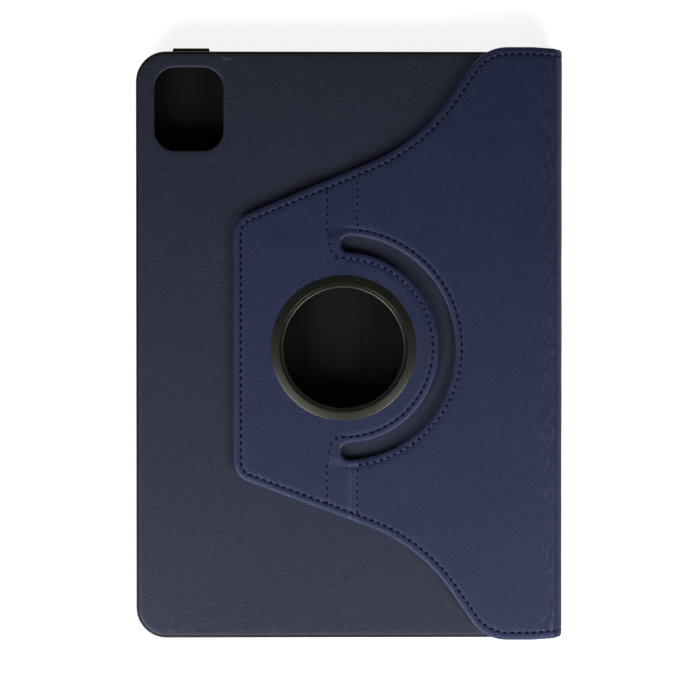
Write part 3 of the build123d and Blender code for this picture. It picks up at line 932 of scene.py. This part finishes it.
stitch_paths = [edge_stitch_line(flap_outline), inner_ring, outer_ring]
stitch_paths += fold_stitches(1) + fold_stitches(-1)
flap_stitches = stitching("flap_stitching", stitch_paths, stitch_height)
roll_up(flap_stitches, True)
dress(flap_stitches, thread)
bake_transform(flap_stitches)

# Lining of the flap and the upper half of the spine
LINING_CUTS = 10 * MM
lining_hole = circle_path(hub, 32.7 * MM)
flap_lining_cloth = flat_sheet(
    "flap_lining_cloth",
    drawn_in(flap_outline, LINING_INSET),
    (slot_path(LINING_INSET), lining_hole),
    flap_lining_bottom,
)
cut_grid(flap_lining_cloth, rolling + steps_between(flap_low[0], flat_end, LINING_CUTS),
         steps_between(flap_low[1], flap_high[1], LINING_CUTS))
apply_modifier(flap_lining_cloth, "SOLIDIFY", thickness=LINING - 0.05 * MM, offset=1.0)
cut_off(flap_lining_cloth, sheet_end)
roll_up(flap_lining_cloth, True, thin=BOARD)
smooth(flap_lining_cloth)
dress(flap_lining_cloth, microfibre)
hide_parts("flap_lining", "spine_lining")
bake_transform(flap_lining_cloth)

# ---- Front cover -------------------------------------------------------------------------

cover_outline = cover_path()
cover_leather = worked_sheet("cover_leather", cover_outline, (), flap_top, EDGE_PROFILE)
drop_edges(cover_leather, cover_high[2] - EDGE_RISE)
cut_grid(cover_leather, steps_between(cover_low[0], flat_end, 5 * MM) + rolling,
         steps_between(cover_low[1], cover_high[1], 5 * MM))
apply_modifier(cover_leather, "SOLIDIFY", thickness=SKIN, offset=-1.0)
cut_off(cover_leather, sheet_end)
roll_up(cover_leather, False, shallow=TURNED_EDGE)
cover_leather.data.flip_normals()
smooth(cover_leather, 50)
dress_leather(cover_leather)
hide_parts("cover_skin", "cover_crease")
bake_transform(cover_leather)

cover_stitches = stitching(
    "cover_stitching",
    [edge_stitch_line(cover_outline)],
    lambda place: flap_top - COVER_STITCH_SUNK,
)
roll_up(cover_stitches, False)
cover_stitches.data.flip_normals()
dress(cover_stitches, thread)
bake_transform(cover_stitches)

cover_lining_cloth = flat_sheet(
    "cover_lining_cloth", drawn_in(cover_outline, LINING_INSET), (), flap_top - cover_high[2]
)
cut_grid(cover_lining_cloth, rolling + steps_between(cover_low[0], flat_end, LINING_CUTS),
         steps_between(cover_low[1], cover_high[1], LINING_CUTS))
apply_modifier(cover_lining_cloth, "SOLIDIFY", thickness=LINING, offset=1.0)
cut_off(cover_lining_cloth, sheet_end)
roll_up(cover_lining_cloth, False, thin=BOARD)
cover_lining_cloth.data.flip_normals()
smooth(cover_lining_cloth)
dress(cover_lining_cloth, microfibre)
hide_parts("cover_lining")
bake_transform(cover_lining_cloth)

# Padded ribs, crowned across and sloped down to their ends
RIB_EDGE = 0.35  # height of a rib's edge, as a share of its middle's
RIB_END = (-0.0375, 0.2125)  # start and stop of the slope at its ends, in half widths
for number in (1, 2):
    low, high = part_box(f"stand_rib_{number}")
    rib = block(f"padded_rib_{number}", low, high)
    with editing(rib):
        bpy.ops.mesh.subdivide(number_cuts=11)
    middle = [(a + b) / 2 for a, b in zip(low, high)]
    half = [(b - a) / 2 for a, b in zip(low, high)]
    for vertex in rib.data.vertices:
        across = abs(vertex.co.x - middle[0]) / half[0]
        from_end = (half[1] - abs(vertex.co.y - middle[1])) / half[0]
        pad = (1 - across**6) * ramp(from_end, *RIB_END)
        share = (vertex.co.z - low[2]) / (high[2] - low[2])
        share *= RIB_EDGE + (1 - RIB_EDGE) * pad
        vertex.co.z = low[2] + (high[2] - low[2]) * share
    smooth(rib, 60)
    dress(rib, microfibre)
    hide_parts(f"stand_rib_{number}")
    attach(rib, "front_cover")

# ---- Tray --------------------------------------------------------------------------------

CAMERA_FROM_SIDE = 22.8 * MM
CAMERA_FROM_TOP = 24.8 * MM
CAMERA_SIZE = (29.7 * MM, 35.9 * MM)
CAMERA_CORNER = 9 * MM
camera = Vector((tray_low[0] + CAMERA_FROM_SIDE, tray_high[1] - CAMERA_FROM_TOP))


def camera_path(margin):
    """The camera window's outline, wider all round by margin."""
    x, y = CAMERA_SIZE[0] / 2 + margin, CAMERA_SIZE[1] / 2 + margin
    points = [camera + Vector(c) for c in ((-x, -y), (x, -y), (x, y), (-x, y))]
    return rounded_path(points, [CAMERA_CORNER + margin] * 4)


TRAY_CORNER = 13 * MM
back_inset = back_low[0] - tray_low[0]
BACK_EDGE = [(0.08 * MM, 0.16 * MM), (0.16 * MM, 0.14 * MM), (0.26 * MM, 0.1 * MM),
             (0.4 * MM, 0.05 * MM), (1.6 * MM, 0.01 * MM)]
tray_leather = worked_sheet(
    "tray_leather",
    tray_path(back_inset, TRAY_CORNER - back_inset),
    (camera_path(0.0), circle_path(hub, 33.1 * MM)),
    back_high[2],
    BACK_EDGE,
)
drop_edges(tray_leather, 0.2 * MM)
cut_grid(tray_leather, steps_between(back_low[0], back_high[0], 4 * MM),
         steps_between(back_low[1], back_high[1], 4 * MM))
for vertex in tray_leather.data.vertices:
    place = Vector((vertex.co.x, vertex.co.y, 9 * MM))
    vertex.co.z += 0.05 * MM * noise.noise(place / (30 * MM))
apply_modifier(tray_leather, "SOLIDIFY", thickness=0.25 * MM, offset=-1.0)
smooth(tray_leather, 50)
dress(tray_leather, back_leather)
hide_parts("tray_back_skin")
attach(tray_leather, "tray")

pocket_cloth = flat_sheet(
    "pocket_cloth",
    tray_path(1.6 * MM, 11.4 * MM),
    (camera_path(0.3 * MM), circle_path(hub, 33.0 * MM)),
    pocket_lining_bottom + 0.02 * MM,
)
apply_modifier(pocket_cloth, "SOLIDIFY", thickness=0.34 * MM, offset=1.0)
apply_modifier(pocket_cloth, "BEVEL", width=0.1 * MM, segments=2, angle_limit=math.radians(60))
smooth(pocket_cloth)
dress(pocket_cloth, microfibre)
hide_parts("tray_lining")
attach(pocket_cloth, "tray")

# Power button cover, a low hump with slanted ends
TAB_SLANT = 0.9 * MM
TAB_DRAFT = 0.35 * MM
low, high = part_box("power_button")
power_tab = block("power_tab", low, high)
for vertex in power_tab.data.vertices:
    if vertex.co.y > (low[1] + high[1]) / 2:
        vertex.co.x += TAB_SLANT if vertex.co.x < (low[0] + high[0]) / 2 else -TAB_SLANT
        vertex.co.z += TAB_DRAFT if vertex.co.z < (low[2] + high[2]) / 2 else -TAB_DRAFT
apply_modifier(power_tab, "BEVEL", width=0.35 * MM, segments=3)
smooth(power_tab, 50)
dress(power_tab, satin_plastic)
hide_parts("power_button")
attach(power_tab, "power_button")

# ---- Hub rings ---------------------------------------------------------------------------

RING_STEPS = 180


def turned_ring(name, profile):
    """A closed ring spun round the hub's axis from its section, given as radius and height."""
    points = [(hub.x + radius, hub.y, height) for radius, height in profile]
    edges = [(n, (n + 1) % len(points)) for n in range(len(points))]
    obj = mesh_object(name, points, edges, [])
    with editing(obj):
        bpy.ops.mesh.spin(
            steps=RING_STEPS, angle=2 * math.pi, center=(hub.x, hub.y, 0), axis=(0, 0, 1)
        )
        bpy.ops.mesh.select_all(action="SELECT")
        bpy.ops.mesh.remove_doubles(threshold=WELD)
        bpy.ops.mesh.normals_make_consistent(inside=False)
    smooth(obj, 38)
    return obj


def arc_profile(start, middle, end, steps=4):
    """Points on the quadratic curve from start to end that leans towards middle."""
    return [
        tuple((1 - t) ** 2 * a + 2 * t * (1 - t) * b + t**2 * c
              for a, b, c in zip(start, middle, end))
        for t in [n / steps for n in range(steps + 1)]
    ]


bore = 25.9 * MM
rotor_outer = bore + 1.2 * MM
bezel_inner = rotor_outer + 0.25 * MM
bezel_outer = (bezel_high[0] - bezel_low[0]) / 2
bezel_top = bezel_high[2]
skirt_inner, skirt_outer = 29.15 * MM, 30.15 * MM
skirt_bottom, ledge = bezel_low[2], flap_top - 0.5 * MM

# The bezel: a skirt through the flap, and one even chamfer from its rim up to its inner edge
bezel_ring = turned_ring(
    "bezel_ring",
    [(bezel_inner, ledge), (skirt_inner, ledge), (skirt_inner, skirt_bottom)]
    + [(skirt_outer, skirt_bottom), (skirt_outer, flap_top), (bezel_outer - 0.1 * MM, flap_top)]
    + arc_profile((bezel_outer, flap_top + 0.05 * MM), (bezel_outer, flap_top + 0.15 * MM),
                  (bezel_outer - 0.25 * MM, flap_top + 0.2 * MM))
    + arc_profile((bezel_inner + 0.7 * MM, bezel_top - 0.03 * MM),
                  (bezel_inner + 0.5 * MM, bezel_top),
                  (bezel_inner + 0.2 * MM, bezel_top - 0.02 * MM))
    + [(bezel_inner, bezel_top - 0.2 * MM)],
)

rotor_top, rotor_foot = rotor_high[2], rotor_low[2]
foot_reach, foot_top = 33.0 * MM, rotor_foot + 0.7 * MM
flange_reach, flange_low = 28.9 * MM, rotor_foot + 2.35 * MM
flange_high = flange_low + 0.8 * MM

# The rotor: a wide foot under the tray's back, a flange that holds it, and a sloped lip
rotor_ring = turned_ring(
    "rotor_ring",
    [(bore, rotor_foot), (foot_reach, rotor_foot), (foot_reach, foot_top)]
    + [(rotor_outer, foot_top), (rotor_outer, flange_low), (flange_reach, flange_low)]
    + [(flange_reach, flange_high), (rotor_outer, flange_high)]
    + arc_profile((rotor_outer, rotor_top - 0.15 * MM), (rotor_outer, rotor_top),
                  (rotor_outer - 0.15 * MM, rotor_top))
    + arc_profile((bore + 0.15 * MM, rotor_top - 0.25 * MM), (bore, rotor_top - 0.3 * MM),
                  (bore, rotor_top - 0.5 * MM)),
)

for ring in (bezel_ring, rotor_ring):
    dress(ring, soft_gloss_plastic)
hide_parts("hub_bezel")
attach(bezel_ring, "back_flap")
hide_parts("hub_rotor")
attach(rotor_ring, "tray")

# ---- Carried-over CAD nodes --------------------------------------------------------------

FINISH = {
    "tray_shell": satin_plastic,
    "volume_up": satin_plastic,
    "volume_down": satin_plastic,
    "hub_retainer": satin_plastic,
    "slip_washer": satin_plastic,
    "hub_rivets": plated_steel,
    "sleep_magnets": plated_steel,
    "cover_board": grey_board,
    "flap_board": grey_board,
    "hub_board": grey_board,
}
for name, material in FINISH.items():
    dress(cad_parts[name], material)

# ---- Floor, light and camera -------------------------------------------------------------


def area_light(name, place, target, size, power):
    """A rectangular soft box aimed at a point."""
    light = bpy.data.lights.new(name, "AREA")
    light.shape = "RECTANGLE"
    light.size, light.size_y = size
    light.energy = power
    obj = placed(name, light)
    obj.location = place
    obj.rotation_euler = (Vector(target) - Vector(place)).to_track_quat("-Z", "Y").to_euler()


# A plain pale floor, which glows a little so that shadows on it stay faint
bpy.ops.object.select_all(action="DESELECT")
bpy.ops.mesh.primitive_plane_add(size=6, location=(0, 0, -0.05 * MM))
floor = bpy.context.object
floor.name = "floor"
pale, tree, shader, _ = new_material("pale_floor")
set_inputs(tree, shader, {
    "Base Color": hex_colour("b4b4b4"),
    "Roughness": 0.9,
    "Emission Color": hex_colour("ffffff"),
    "Emission Strength": 0.86,
})
floor.data.materials.append(pale)

# Two soft boxes near the case's lower end, so that its upper end is darker, and a weak one behind
area_light("soft_box_front_left", (-0.345, -0.42, 0.345), (0, -0.08, 0), (0.4, 0.32), 4.9)
area_light("soft_box_front_right", (0.37, -0.41, 0.33), (0, -0.08, 0), (0.32, 0.28), 3.8)
area_light("soft_box_back", (0.0, 1.3, 0.5), (0, 0.1, 0), (1.6, 0.4), 1.8)

world = bpy.data.worlds.new("studio")
bpy.context.scene.world = world
world.use_nodes = True
set_inputs(world.node_tree, world.node_tree.nodes["Background"],
           {"Color": hex_colour("f6f7fa"), "Strength": 0.05})
bpy.context.scene.view_settings.view_transform = "Standard"

# The camera stands over the case, a little towards its top left corner
VIEW_WIDTH = 300.8 * MM  # at the flap
SENSOR = 36
middle_of_view = Vector((0.1 * MM, -2.6 * MM, flap_top))
camera_data = bpy.data.cameras.new("camera")
camera_object = placed("camera", camera_data)
camera_object.location = middle_of_view + Vector((-0.03, 0.025, 1.5))
away = camera_object.location - middle_of_view
camera_object.rotation_euler = (-math.atan2(away.y, away.z), math.atan2(away.x, away.z), 0)
camera_data.sensor_width = SENSOR
camera_data.lens = SENSOR * away.length / VIEW_WIDTH
camera_data.clip_end = 20
bpy.context.scene.camera = camera_object
